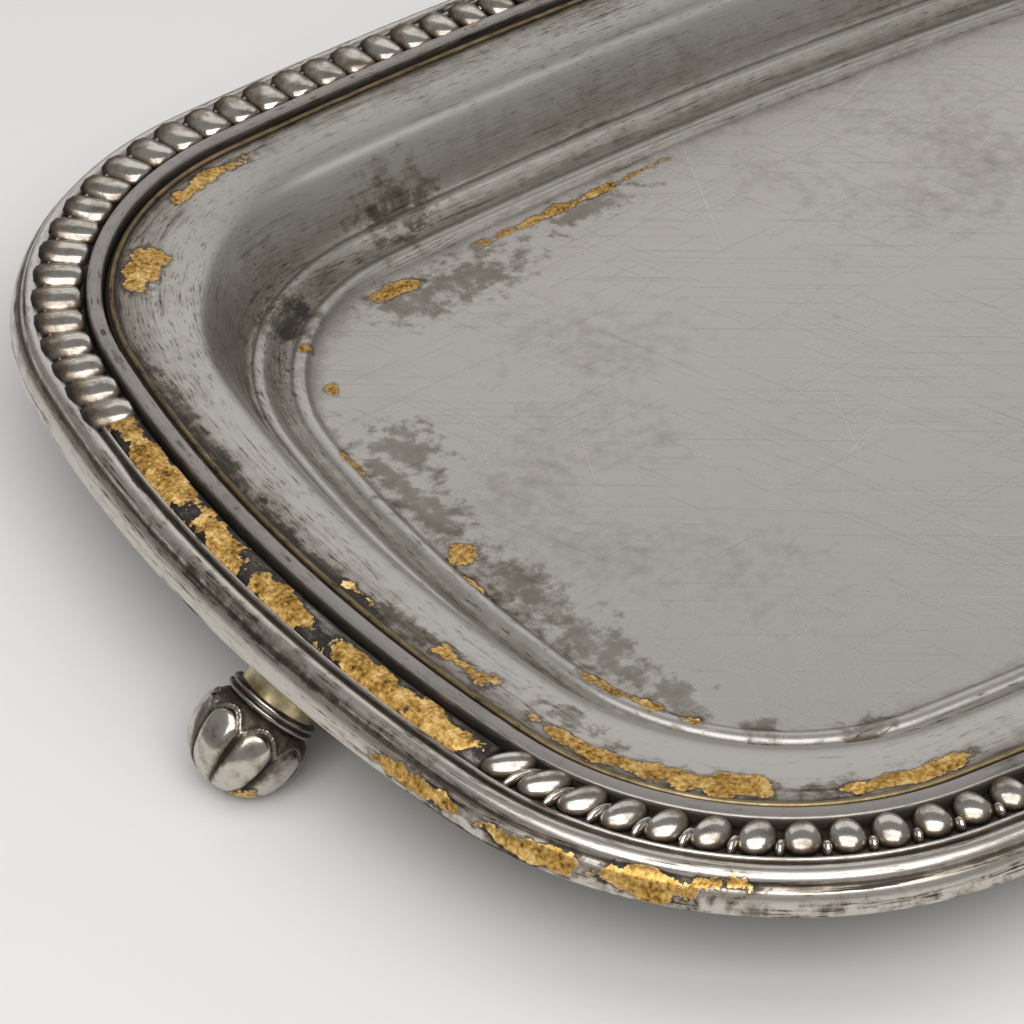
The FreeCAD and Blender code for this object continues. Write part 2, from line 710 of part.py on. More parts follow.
def make_foot_stud(label, foot):
    """A short stud with chamfered ends along the bud's axis."""
    body = new_body(label)
    start = "(sizes.bud_above - sizes.stud_in_bud)"
    pad = body.newObject("PartDesign::Pad", "stud")
    pad.Profile = circle_sketch(body, "stud_outline", "XY_Plane", start, ("0", "0"), "sizes.stud_radius")
    pad.setExpression("Length", "sizes.stud_in_bud + sizes.collar_thick + sizes.stud_in_neck")
    doc.recompute()
    rims = [
        f"Edge{number}" for number, edge in enumerate(pad.Shape.Edges, start=1)
        if isinstance(edge.Curve, Part.Circle)
    ]
    chamfer = body.newObject("PartDesign::Chamfer", "stud_ends")
    chamfer.Base = (pad, rims)
    chamfer.setExpression("Size", "sizes.stud_chamfer")
    body.Placement = bud_frame(foot)
    return body


def foot_placements():
    """One foot under each side; the end feet stand a little off the middle, in half-turn symmetry."""
    half_length = size("ridge_half_length")
    half_width = size("ridge_half_width")
    shift = size("end_foot_shift")
    sag = size("end_bow") - math.sqrt(size("end_bow")**2 - shift**2)
    spots = {
        "right": (half_length - sag, shift, 0),
        "back": (0, half_width, 90),
        "left": (-half_length + sag, -shift, 180),
        "front": (0, -half_width, 270),
    }
    axis = FreeCAD.Vector(0, 0, 1)
    return {
        side: FreeCAD.Placement(FreeCAD.Vector(x, y, 0), FreeCAD.Rotation(axis, turn))
        for side, (x, y, turn) in spots.items()
    }


# --- build, check and write ---------------------------------------------------------------------

nodes = [
    make_tray_body(),
    make_rim_moulding(),
    make_rim_wire(),
    make_ridge_wire(),
    make_fillet_wire(),
    make_bead_strip("bead_strip_back", 0),
    make_bead_strip("bead_strip_front", 180),
    make_end_panel("end_panel_right", 0),
    make_end_panel("end_panel_left", 180),
]
for side, foot in foot_placements().items():
    nodes.append(make_foot_bud(f"foot_bud_{side}", foot))
    nodes.append(make_foot_collar(f"foot_collar_{side}", foot))
    nodes.append(make_foot_bracket(f"foot_bracket_{side}", foot))
    nodes.append(make_foot_stud(f"foot_stud_{side}", foot))
doc.recompute()

for item in doc.Objects:
    if "Invalid" in item.State or "Error" in item.State:
        raise RuntimeError(f"{item.Name}: {item.getStatusString()}")
for node in nodes:
    if node.Shape.isNull() or not node.Shape.isValid():
        raise RuntimeError(f"{node.Label} has no valid shape")

os.makedirs("parts", exist_ok=True)
for node in nodes:
    node.Shape.exportStep(f"parts/{node.Label}.step")
    print(f"{node.Label}: {len(node.Shape.Solids)} solid(s), {node.Shape.Volume:.1f} mm3")
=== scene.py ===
import math
import random

import bmesh
import bpy
from mathutils import Matrix, Vector


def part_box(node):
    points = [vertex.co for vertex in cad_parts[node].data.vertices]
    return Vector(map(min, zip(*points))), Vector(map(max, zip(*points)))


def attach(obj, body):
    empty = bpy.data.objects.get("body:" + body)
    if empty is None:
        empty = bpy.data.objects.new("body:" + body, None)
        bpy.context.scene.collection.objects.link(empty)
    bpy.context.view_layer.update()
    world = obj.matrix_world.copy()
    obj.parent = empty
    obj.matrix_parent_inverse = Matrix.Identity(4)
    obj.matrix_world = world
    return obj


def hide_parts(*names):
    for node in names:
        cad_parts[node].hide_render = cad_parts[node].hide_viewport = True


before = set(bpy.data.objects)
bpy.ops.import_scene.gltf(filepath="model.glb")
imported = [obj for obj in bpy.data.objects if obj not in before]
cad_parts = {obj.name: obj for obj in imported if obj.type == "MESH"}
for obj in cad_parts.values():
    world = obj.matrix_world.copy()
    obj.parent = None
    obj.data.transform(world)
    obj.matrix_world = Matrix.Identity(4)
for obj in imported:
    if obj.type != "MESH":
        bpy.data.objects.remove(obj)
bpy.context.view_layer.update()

# --- Drawn sheet ---------------------------------------------------------------------------------
# The tray itself: one brass sheet drawn in a press to a stepped well with a sloping border, plated
# with silver, and worn since. Its flange runs out flat under the rim moulding, which hides it.

MM = 0.001
RIDGE_FOOT = 2 * MM
END_BOW = 210 * MM
SIDE_BOW = 713 * MM
CORNER = 38.5 * MM
SHEET_THICK = 0.8 * MM
FLOOR_INSET = 23 * MM
WELD = 0.002 * MM
ridge_low, ridge_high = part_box("ridge_wire")
CREST = ridge_high.z
HALF_LENGTH = ridge_high.x - RIDGE_FOOT / 2
HALF_WIDTH = ridge_high.y - RIDGE_FOOT / 2

# Down the inside of the well: inset from the ridge line, depth below its crest, corner radius, and
# how dark it is painted there, from 0 to 1: tarnish and dirt, with painted shade under the ridge
# and moulding, beside the fillet wire and in the creases of the steps and the floor's edge.
SHEET_STATIONS = [
    (-7.65, 2.4, 46.15, 1.0),
    (0.9, 2.4, 37.6, 1.0),
    (1.1, 2.4, 37.4, 1.0),
    (1.25, 1.3, 37.2, 1.0),
    (1.7, 1.0, 36.8, 0.9),
    (2.4, 1.05, 36.3, 0.9),
    (2.8, 1.1, 36.2, 0.6),
    (3.3, 1.1, 36.0, 0.35),
    (4.6, 1.2, 35.8, 0.22),
    (6.5, 1.4, 35.6, 0.05),
    (9.2, 1.8, 35.1, 0.0),
    (10.7, 2.4, 34.9, 0.0),
    (11.7, 3.5, 34.8, 0.0),
    (12.9, 5.7, 34.6, 0.15),
    (14.2, 8.5, 34.4, 0.35),
    (15.0, 9.95, 34.2, 0.4),
    (15.6, 10.45, 34.1, 0.4),
    (16.0, 10.1, 34.0, 0.1),
    (16.8, 10.15, 33.6, 0.0),
    (17.6, 10.9, 33.0, 0.3),
    (18.4, 11.6, 32.4, 0.55),
    (19.8, 11.85, 31.2, 0.35),
    (20.5, 11.4, 30.5, 0.0),
    (21.6, 11.45, 29.4, 0.0),
    (22.1, 12.0, 28.9, 0.3),
    (22.7, 12.4, 28.4, 0.35),
    (23.6, 12.4, 27.6, 0.1),
    (26.0, 12.4, 25.5, 0.0),
    (29.0, 12.4, 23.0, 0.0),
    (33.0, 12.4, 20.0, 0.0),
    (38.0, 12.4, 16.0, 0.0),
]


def outline(inset=0.0, corner=CORNER):
    """Nine arcs round the tray from the middle of its right end: centre, radius, start and turn."""
    end_centre = Vector((HALF_LENGTH - END_BOW, 0))
    side_centre = Vector((0, HALF_WIDTH - SIDE_BOW))
    to_end = END_BOW - inset - corner
    to_side = SIDE_BOW - inset - corner
    span = side_centre - end_centre
    along = (to_end**2 - to_side**2 + span.length_squared) / (2 * span.length)
    across = math.sqrt(to_end**2 - along**2)
    unit = span.normalized()
    centre = end_centre + unit * along + Vector((-unit.y, unit.x)) * across
    end_turn = math.atan2(centre.y, centre.x - end_centre.x)
    side_turn = math.atan2(centre.y - side_centre.y, centre.x)
    corner_turn = side_turn - end_turn
    half = math.pi
    across_centre = Vector((-centre.x, centre.y))
    return [
        (end_centre, END_BOW - inset, 0, end_turn),
        (centre, corner, end_turn, corner_turn),
        (side_centre, SIDE_BOW - inset, side_turn, half - 2 * side_turn),
        (across_centre, corner, half - side_turn, corner_turn),
        (-end_centre, END_BOW - inset, half - end_turn, 2 * end_turn),
        (-centre, corner, half + end_turn, corner_turn),
        (-side_centre, SIDE_BOW - inset, half + side_turn, half - 2 * side_turn),
        (-across_centre, corner, 2 * half - side_turn, corner_turn),
        (end_centre, END_BOW - inset, 2 * half - end_turn, end_turn),
    ]


RIDGE_LINE = outline()
RIM_LENGTH = sum(radius * turn for _, radius, _, turn in RIDGE_LINE)


def rim_place(point):
    """How far along the ridge line a point lies, and how far inside it."""
    best = None
    travelled = 0.0
    for centre, radius, start, turn in RIDGE_LINE:
        arm = Vector(point).to_2d() - centre
        angle = (math.atan2(arm.y, arm.x) - start) % (2 * math.pi)
        if angle > turn + 1e-4 and angle > 2 * math.pi - 1e-4:
            angle = 0.0
        inset = radius - arm.length
        if angle <= turn + 1e-4 and (best is None or abs(inset) < abs(best[1])):
            best = (travelled + radius * angle, inset)
        travelled += radius * turn
    return best


def rounded(points, rounds=3):
    """Cut the corners of an open chain again and again, which rounds every bend."""
    for _ in range(rounds):
        cut = [points[0]]
        for here, there in zip(points, points[1:]):
            cut.append(tuple(0.75 * a + 0.25 * b for a, b in zip(here, there)))
            cut.append(tuple(0.25 * a + 0.75 * b for a, b in zip(here, there)))
        points = cut + [points[-1]]
    return points


def spin_along(bm, geometry, arcs):
    """Carry vertices and edges round a chain of arcs, in steps a few millimetres long."""
    longest = 4.5 * MM
    sharpest = math.radians(3)
    for centre, radius, start, turn in arcs:
        steps = math.ceil(max(abs(turn) * radius / longest, abs(turn) / sharpest))
        spun = bmesh.ops.spin(
            bm, geom=geometry, cent=centre.to_3d(), axis=(0, 0, 1), angle=turn, steps=steps)
        geometry = spun["geom_last"]
    return geometry


def settle(vertex, corner):
    """Move a vertex of a concentric ring to the same place on a ring with its own corner radius."""
    along, inset = rim_place(vertex.co)
    own = outline(inset, corner)
    for number, (_, radius, _, turn) in enumerate(RIDGE_LINE):
        if along <= radius * turn or number == len(own) - 1:
            break
        along -= radius * turn
    centre, own_radius, start, own_turn = own[number]
    angle = start + own_turn * min(1.0, along / (radius * turn))
    at = centre + Vector((math.cos(angle), math.sin(angle))) * own_radius
    vertex.co.x, vertex.co.y = at


def patch_field(places, depth=None, spread=1.5):
    """A function giving 1 in the middle of worn or gilt places, falling below 0 outside them."""
    anchored = [
        (rim_place((x * MM, y * MM)), length * MM / 2, width * MM / 2)
        for x, y, length, width in places
    ]

    def field(point):
        along, inset = rim_place(point)
        nearest = 2 * spread
        for (patch_along, patch_inset), half_length, half_width in anchored:
            apart = abs(along - patch_along)
            apart = min(apart, RIM_LENGTH - apart)
            across = abs(inset - patch_inset)
            if depth:
                across = math.hypot(across, CREST - point.z - depth)
            reach = math.hypot(apart / half_length, across / half_width)
            nearest = min(nearest, reach)
        return 1 - nearest / spread
    return field


def lay_coordinates(bm, gilt=(), stain=(), depth=None):
    """Give a surface a map that follows the rim in metres, and its gilt and stained places."""
    run = bm.loops.layers.uv.new("along")
    gilt_layer = bm.verts.layers.float.new("gilt")
    stain_layer = bm.verts.layers.float.new("stain")
    gilt_field = patch_field(gilt, depth)
    stain_field = patch_field(stain)
    places = {}
    for vertex in bm.verts:
        along, inset = rim_place(vertex.co)
        places[vertex] = (along, abs(inset) + CREST - vertex.co.z)
        vertex[gilt_layer] = gilt_field(vertex.co)
        vertex[stain_layer] = stain_field(vertex.co)
    for face in bm.faces:
        alongs = [places[vertex][0] for vertex in face.verts]
        over_seam = max(alongs) - min(alongs) > RIM_LENGTH / 2
        for loop in face.loops:
            along, across = places[loop.vert]
            if over_seam and along < RIM_LENGTH / 2:
                along += RIM_LENGTH
            loop[run].uv = (along, across)


def piece(name, bm, material, slot, *nodes):
    """Make a finished bmesh a smooth piece of the tray that stands for its CAD nodes."""
    mesh = bpy.data.meshes.new(name)
    bm.to_mesh(mesh)
    bm.free()
    mesh.shade_smooth()
    mesh.materials.append(material)
    made = bpy.data.objects.new(name, mesh)
    bpy.context.scene.collection.objects.link(made)
    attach(made, "root")
    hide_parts(*nodes)
    return made


def linear(code):
    """An sRGB hex colour as linear red, green, blue and alpha."""
    channels = [int(code[place:place + 2], 16) / 255 for place in (1, 3, 5)]
    return [c / 12.92 if c <= 0.04045 else ((c + 0.055) / 1.055) ** 2.4 for c in channels] + [1.0]


def add(tree, kind, inputs, output=0, stops=None, **settings):
    """Add one node with its settings and links, and return the output that is used."""
    node = tree.nodes.new(kind)
    for name, value in settings.items():
        setattr(node, name, value)
    if stops:
        while len(node.color_ramp.elements) < len(stops):
            node.color_ramp.elements.new(0.5)
        for element, (position, colour) in zip(node.color_ramp.elements, stops):
            element.position = position
            element.color = linear(colour)
    for socket, value in inputs.items():
        if isinstance(value, bpy.types.NodeSocket):
            tree.links.new(value, node.inputs[socket])
        else:
            node.inputs[socket].default_value = value
    return node.outputs[output] if node.outputs else None


def worn_plate(name, tones, gloss, dullest, mottle=0.5, streak=0.5, cloud=0.3, smear=0.0,
               scratch=0.0, wear=0.0, on_rim=True, gilded=True):
    """Silver plate over brass with a film of tarnish, and leaf gilding where the piece has any.

    tones are four colours from clean silver to black, for tarnish and painted shade. mottle, streak
    and cloud say how much fine, drawn-out and broad patches darken it, smear how much black is rubbed
    into long marks, and scratch how strong the hairlines are. wear darkens it all. on_rim is for a
    piece with a map along the rim, and gilded for one that carries gilt and stained places.
    """
    material = bpy.data.materials.new(name)
    material.use_nodes = True
    tree = material.node_tree
    tree.nodes.clear()
    place = add(tree, "ShaderNodeTexCoord", {}, output="Object")
    run = add(tree, "ShaderNodeUVMap", {}, uv_map="along") if on_rim else place
    # the darkness attribute: tarnish, and painted shade where sections and beads darken their grooves,
    # hollows and undersides
    tarnish_and_shade = add(tree, "ShaderNodeAttribute", {}, output="Fac", attribute_name="tarnish_and_shade")

    # patches of tarnish: broad clouds 30 mm across, specks 2.4 mm and grit 0.5 mm
    clouds = add(tree, "ShaderNodeTexNoise", {"Vector": place, "Scale": 1 / (30 * MM), "Detail": 3.0})
    specks = add(tree, "ShaderNodeTexNoise", {
        "Vector": place, "Scale": 1 / (2.4 * MM), "Detail": 6.0, "Roughness": 0.65})
    grit = add(tree, "ShaderNodeTexNoise", {
        "Vector": place, "Scale": 1 / (0.5 * MM), "Detail": 3.0, "Roughness": 0.6})
    # rubbing along the rim leaves fine marks about 9 mm long and 0.45 mm wide
    drawn = add(tree, "ShaderNodeMapping", {
        "Vector": run, "Scale": (1 / (9 * MM), 1 / (0.45 * MM), 1 / (9 * MM))})
    streaks = add(tree, "ShaderNodeTexNoise", {
        "Vector": drawn, "Scale": 1.0, "Detail": 5.0, "Roughness": 0.62})

    amount = tarnish_and_shade
    for source, strength in ((specks, mottle), (streaks, streak), (clouds, cloud)):
        if strength:
            centred = add(tree, "ShaderNodeMath", {0: source, 1: 0.5}, operation="SUBTRACT")
            amount = add(tree, "ShaderNodeMath", {
                0: centred, 1: strength, 2: amount}, operation="MULTIPLY_ADD")
    if smear:
        # black dirt caught in marks 16 mm long and 1.2 mm wide
        dragged = add(tree, "ShaderNodeMapping", {
            "Vector": run, "Location": (0.3, 0.2, 0),
            "Scale": (1 / (16 * MM), 1 / (1.2 * MM), 1 / (16 * MM))})
        smears = add(tree, "ShaderNodeTexNoise", {
            "Vector": dragged, "Scale": 1.0, "Detail": 6.0, "Roughness": 0.7})
        smears = add(tree, "ShaderNodeMapRange", {0: smears, 1: 0.55, 2: 0.66, 3: 0.0, 4: smear})
        amount = add(tree, "ShaderNodeMath", {0: amount, 1: smears}, operation="ADD")
        # pits that follow the rim, 2.5 mm long and 0.3 mm wide
        pitted = add(tree, "ShaderNodeMapping", {
            "Vector": run, "Scale": (1 / (2.5 * MM), 1 / (0.3 * MM), 1 / (2.5 * MM))})
        pits = add(tree, "ShaderNodeTexNoise", {"Vector": pitted, "Scale": 1.0, "Detail": 3.0})
        pits = add(tree, "ShaderNodeMath", {0: clouds, 1: 0.25, 2: pits}, operation="MULTIPLY_ADD")
        pits = add(tree, "ShaderNodeMapRange", {0: pits, 1: 0.73, 2: 0.79, 3: 0.0, 4: 0.42})
        amount = add(tree, "ShaderNodeMath", {0: amount, 1: pits}, operation="ADD")
    if gilded:
        gilt = add(tree, "ShaderNodeAttribute", {}, output="Fac", attribute_name="gilt")
        stain = add(tree, "ShaderNodeAttribute", {}, output="Fac", attribute_name="stain")
        ragged = add(tree, "ShaderNodeMath", {0: specks, 1: 2.4, 2: stain}, operation="MULTIPLY_ADD")
        stained = add(tree, "ShaderNodeMapRange", {0: ragged, 1: 1.5, 2: 1.95, 3: 0.0, 4: 0.42})
        amount = add(tree, "ShaderNodeMath", {0: amount, 1: stained}, operation="ADD")
        # gilding: leaf left in torn patches, with black tarnish at the torn edge
        flakes = add(tree, "ShaderNodeTexNoise", {
            "Vector": place, "Scale": 1 / (4 * MM), "Detail": 8.0, "Roughness": 0.6})
        torn = add(tree, "ShaderNodeMath", {0: flakes, 1: 2.2, 2: gilt}, operation="MULTIPLY_ADD")
        leaf = add(tree, "ShaderNodeMapRange", {0: torn, 1: 1.42, 2: 1.46, 3: 0.0, 4: 1.0})
        halo = add(tree, "ShaderNodeMapRange", {0: torn, 1: 1.2, 2: 1.42, 3: 0.0, 4: 0.5})
        halo = add(tree, "ShaderNodeMath", {0: halo, 1: leaf}, operation="SUBTRACT", use_clamp=True)
        amount = add(tree, "ShaderNodeMath", {0: amount, 1: halo}, operation="ADD")
    amount = add(tree, "ShaderNodeMath", {0: amount, 1: wear}, operation="ADD", use_clamp=True)

    stops = list(zip((0.05, 0.35, 0.65, 1.0), tones))
    colour = add(tree, "ShaderNodeValToRGB", {"Fac": amount}, stops=stops)
    rough = add(tree, "ShaderNodeMapRange", {0: amount, 1: 0.1, 2: 0.9, 3: gloss, 4: dullest})
    metal = add(tree, "ShaderNodeMapRange", {0: amount, 1: 0.35, 2: 1.0, 3: 1.0, 4: 0.35})
    height = grit
    if gilded:
        # rubbing shows the dark ground through the leaf in grains and specks
        rubbed = add(tree, "ShaderNodeMix", {"Factor": 0.5, 2: grit, 3: specks})
        gold = add(tree, "ShaderNodeValToRGB", {"Fac": rubbed}, stops=[
            (0.37, "#4f3c1c"), (0.43, "#997339"), (0.51, "#c59c52"), (0.62, "#e8ca8a")])
        colour = add(tree, "ShaderNodeMix", {0: leaf, 6: colour, 7: gold}, output=2, data_type="RGBA")
        rough = add(tree, "ShaderNodeMath", {0: leaf, 1: 0.12, 2: rough}, operation="MULTIPLY_ADD")
        height = add(tree, "ShaderNodeMath", {0: leaf, 1: 1.5, 2: height}, operation="MULTIPLY_ADD")
    if streak:
        height = add(tree, "ShaderNodeMath", {0: streaks, 1: 0.5, 2: height}, operation="MULTIPLY_ADD")
    if scratch:
        # hairlines by the angle they run at, their length and width in mm, and how sparse they are
        for turn, long, fine, sparse in (
            (0.42, 60, 0.22, 0.64), (-0.62, 34, 0.18, 0.66), (1.15, 46, 0.2, 0.67), (-1.2, 24, 0.16, 0.68),
            (0.05, 40, 0.2, 0.68),
        ):
            turned = add(tree, "ShaderNodeMapping", {
                "Vector": place, "Rotation": (0, 0, turn), "Scale": (long * MM, fine * MM, long * MM),
            }, vector_type="TEXTURE")
            lines = add(tree, "ShaderNodeTexNoise", {"Vector": turned, "Scale": 1.0, "Detail": 1.0})
            lines = add(tree, "ShaderNodeMapRange", {0: lines, 1: sparse, 2: sparse + 0.06, 3: 0.0, 4: 1.0})
            height = add(tree, "ShaderNodeMath", {
                0: lines, 1: -scratch, 2: height}, operation="MULTIPLY_ADD")
            rough = add(tree, "ShaderNodeMath", {0: lines, 1: -0.1, 2: rough}, operation="MULTIPLY_ADD")
    normal = add(tree, "ShaderNodeBump", {"Height": height, "Strength": 0.5, "Distance": 0.02 * MM})
    shader = add(tree, "ShaderNodeBsdfPrincipled", {
        "Base Color": colour, "Metallic": metal, "Roughness": rough, "Normal": normal})
    add(tree, "ShaderNodeOutputMaterial", {"Surface": shader})
    return material


sheet = bmesh.new()
tarnish_and_shade = sheet.verts.layers.float.new("tarnish_and_shade")
corner_layer = sheet.verts.layers.float.new("corner")
section = []
for inset, depth, corner, dark in rounded(SHEET_STATIONS, 2):
    vertex = sheet.verts.new((HALF_LENGTH - inset * MM, 0, CREST - depth * MM))
    vertex[tarnish_and_shade] = dark
    vertex[corner_layer] = corner * MM
    section.append(vertex)
spin_along(sheet, section + [sheet.edges.new(pair) for pair in zip(section, section[1:])], RIDGE_LINE)
bmesh.ops.remove_doubles(sheet, verts=sheet.verts, dist=WELD)
floor_edges = [
    edge for edge in sheet.edges if edge.is_boundary and rim_place(edge.verts[0].co)[1] > FLOOR_INSET]
for vertex in sheet.verts:
    settle(vertex, vertex[corner_layer])
floor_face = bmesh.ops.contextual_create(sheet, geom=floor_edges)["faces"][0]
bmesh.ops.recalc_face_normals(sheet, faces=sheet.faces)
floor_face.normal_update()
if floor_face.normal.z < 0:
    bmesh.ops.reverse_faces(sheet, faces=sheet.faces)
# gilt and stained places: x, y, length along the rim and width across it, in millimetres
lay_coordinates(
    sheet,
    gilt=[
        (-109, -11.4, 5, 1.6), (-106.5, -26.6, 9, 2.6), (-103, -45.7, 13, 2.2), (-96.4, -55.8, 14, 3.6),
        (-79, -66.2, 16, 2), (-97.1, 53.5, 10, 4), (-81.8, 65.2, 13, 2.2), (-88.5, 0, 4.5, 3.4),
        (-82.7, 41.2, 6, 2), (-39.9, 48.9, 26, 1.6), (-65.3, 46.2, 8, 2.4), (-83.5, 33.8, 4, 2),
        (-89.7, 20.1, 5, 1.4), (-89, -27.1, 5, 2), (-86.7, -33.1, 5, 2), (-84.9, -37.8, 6, 2.2),
        (-25.6, 50, 8, 1.2), (-90.6, -6.2, 6, 1.4),
    ],
    stain=[
        (-58, 56.9, 13, 8), (-81.1, 46.6, 20, 8), (-87.1, 15.2, 18, 5), (-57.2, 42.8, 24, 9),
        (-66, 43, 14, 10), (-36, 47, 20, 6), (-83.4, 19.6, 17, 11), (-86.8, 8.4, 16, 8),
        (-86.6, -9, 22, 8), (-85.4, -22.3, 20, 9), (-83.2, -33.8, 20, 8), (-79.6, -43.2, 16, 8),
        (-70, -50, 10, 6), (-73.8, -49.5, 2.5, 2), (-65.6, -53.2, 5, 2.2), (-86.5, -63.3, 10, 4),
        (-101.5, -40.5, 16, 4), (-108.5, 22, 40, 2.6), (-110, -4, 30, 2.6), (-108, -18, 12, 2.6),
        (-72, 70.5, 40, 3),
    ])
SHEET_TONES = ("#bdb8b2", "#9a948c", "#655c50", "#25211c")
plate = worn_plate(
    "satin_silver_plate", SHEET_TONES, gloss=0.36, dullest=0.6, mottle=0.7, streak=0.6, cloud=0.6,
    smear=0.35)
# where things stand it is covered in hairlines that cross at every angle
scratched = worn_plate(
    "scratched_silver_plate", SHEET_TONES, gloss=0.36, dullest=0.6, mottle=0.6, streak=0.0,
    cloud=0.8, scratch=1.0)
for face in sheet.faces:
    if all(rim_place(vertex.co)[1] > FLOOR_INSET for vertex in face.verts):
        face.material_index = 1
tray = piece("drawn_tray", sheet, plate, "plated_sheet", "tray_body")
tray.data.materials.append(scratched)
wall = tray.modifiers.new("sheet", "SOLIDIFY")
wall.thickness = SHEET_THICK
wall.offset = -1

# --- Rim moulding --------------------------------------------------------------------------------
# A stamped strip soldered round the flange: a bed for the beads, a thin ridge, a dark groove, a
# bright rolled edge and a curved apron that hides the flange and ends in a sharp lower lip.

# outwards from the ridge line: outset, depth, and darkness: tarnish, with painted shade in the bed
# under the beads, the groove, the crease below the roll and the inside of the apron
MOULDING_SECTION = [
    (1.1, 2.4, 1.0),
    (1.1, 1.9, 1.0),
    (5.2, 1.9, 1.0),
    (5.4, 1.6, 0.9),
    (5.5, 0.85, 0.15),
    (6.0, 0.75, 0.05),
    (6.15, 1.4, 0.95),
    (6.45, 1.45, 0.95),
    (6.6, 0.95, 0.2),
    (7.3, 0.65, 0.0),
    (8.2, 0.85, 0.0),
    (8.6, 1.3, 0.15),
    (8.75, 1.8, 0.8),
    (9.0, 2.05, 0.6),
    (9.4, 2.3, 0.1),
    (9.85, 3.2, 0.05),
    (10.08, 4.3, 0.0),
    (10.1, 4.85, 0.0),
    (10.0, 5.0, 0.1),
    (9.7, 5.0, 0.3),
    (9.5, 4.7, 0.8),
    (9.25, 3.2, 1.0),
    (9.0, 2.4, 1.0),
]


def sweep(points, arcs, line_outset=0.0, rounds=2):
    """Spin a closed section along arcs: points are outset, depth and darkness, in millimetres."""
    bm = bmesh.new()
    layer = bm.verts.layers.float.new("tarnish_and_shade")
    centre, radius, start, turn = arcs[0]
    outwards = Vector((math.cos(start), math.sin(start), 0))
    chain = rounded(points, rounds)
    section = []
    for outset, depth, dark in chain:
        at = centre.to_3d() + outwards * (radius + outset * MM - line_outset)
        vertex = bm.verts.new(at + Vector((0, 0, CREST - depth * MM)))
        vertex[layer] = dark
        section.append(vertex)
    edges = [bm.edges.new((a, b)) for a, b in zip(section, section[1:] + section[:1])]
    spin_along(bm, section + edges, arcs)
    bmesh.ops.remove_doubles(bm, verts=bm.verts, dist=WELD)
    bmesh.ops.holes_fill(bm, edges=[edge for edge in bm.edges if edge.is_boundary])
    bmesh.ops.recalc_face_normals(bm, faces=bm.faces)
    return bm


moulding = sweep(MOULDING_SECTION, RIDGE_LINE)
lay_coordinates(
    moulding,
    gilt=[
        (-122.3, -27.5, 6, 1.2), (-120, -38.8, 14, 2.4), (-115.4, -53.3, 8.5, 2.6), (-109.8, -61.6, 9, 3.2),
        (-103.1, -66.7, 10, 2.8),
        (118, 40, 22, 3), (96, 74, 20, 2.5), (20, -86, 26, 2),
    ],
    stain=[(-121, -10, 50, 1.6), (-118, -48, 20, 2), (-90, -78, 60, 1.4), (-110, -63, 30, 1.2)],
    depth=3 * MM)
moulding_plate = worn_plate(
    "rubbed_silver_plate", ("#c9c3bb", "#a59c91", "#544b40", "#1a1713"), gloss=0.28, dullest=0.55,
    mottle=0.7, streak=1.0, cloud=0.2, smear=0.9)
piece("rim_moulding_piece", moulding, moulding_plate, "plated_moulding", "rim_moulding")

# --- Ridge wire ----------------------------------------------------------------------------------
# A flat-topped wire soldered between the beads and the border, its edges eased by polishing.

# its sides darken to black and its top stays light: tarnish with painted shade down the sides
RIDGE_SECTION = [
    (-1.0, 2.4, 1.0),
    (-0.98, 1.2, 0.9),
    (-0.92, 0.2, 0.35),
    (-0.7, 0.0, 0.05),
    (0.7, 0.0, 0.05),
    (0.92, 0.2, 0.35),
    (0.98, 1.2, 0.9),
    (1.0, 2.4, 1.0),
]
ridge = sweep(RIDGE_SECTION, RIDGE_LINE)
lay_coordinates(ridge)
ridge_plate = worn_plate(
    "worn_flat_wire", ("#a39d97", "#8c8680", "#4f483f", "#1b1814"), gloss=0.42, dullest=0.6,
    mottle=0.5, streak=0.8, cloud=0.3, smear=0.4)
piece("ridge_wire_piece", ridge, ridge_plate, "plated_wire", "ridge_wire")

# --- Fillet wire ---------------------------------------------------------------------------------
# A thin round wire just inside the ridge, once gilt and now mostly a dull tan.

FILLET_RADIUS = 0.38
FILLET_INSET = 2.0
FILLET_DEPTH = 1.0
# rounding shrinks an octagon by 4% to 8%, so it starts a tenth larger than the wire
OCTAGON = FILLET_RADIUS * 1.1
# the top of the wire is left lighter, its sides and underside darker: tarnish with painted shade
fillet_section = [
    (-FILLET_INSET + OCTAGON * math.cos(step * math.pi / 4),
     FILLET_DEPTH - OCTAGON * math.sin(step * math.pi / 4), 0.3 if step in (1, 2, 3) else 0.9)
    for step in range(8)
]
fillet = sweep(fillet_section, RIDGE_LINE)
lay_coordinates(fillet, gilt=[(-100, -50, 40, 4), (-90, 60, 60, 4)])
fillet_plate = worn_plate(
    "rubbed_gilt_wire", ("#a39272", "#7c6c4e", "#463a28", "#17130c"), gloss=0.4, dullest=0.6,
    mottle=0.9, streak=0.8, cloud=0.5, smear=0.5)
piece("fillet_wire_piece", fillet, fillet_plate, "gilt_wire", "fillet_wire")

# --- Rim wire ------------------------------------------------------------------------------------
# An iron wire wrapped in the moulding's edge for stiffness. It only shows from below.

iron = worn_plate(
    "oxidised_iron_wire", ("#6d675f", "#4b453e", "#2e2822", "#15120f"), gloss=0.5, dullest=0.75,
    mottle=0.8, streak=0.0, cloud=0.5, wear=0.2, on_rim=False, gilded=False)
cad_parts["rim_wire"].data.materials.clear()
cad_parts["rim_wire"].data.materials.append(iron)

# --- Beaded strips -------------------------------------------------------------------------------
# Two cast strips of beads fill the channel along the sides and round the corners. One end has
# broad lobes that touch; towards the other they turn to egg shapes with small pearls between.

BEAD_LINE = 3.4
BEAD_COUNT = 59
PANEL_NEAR = 40.1 * MM
PANEL_FAR = 29.3 * MM
# half widths of a bead across and along the strip, and how far outwards it stands
EGG = (2.5, 2.08, -0.7)
LOBE = (3.1, 2.42, 1.0)
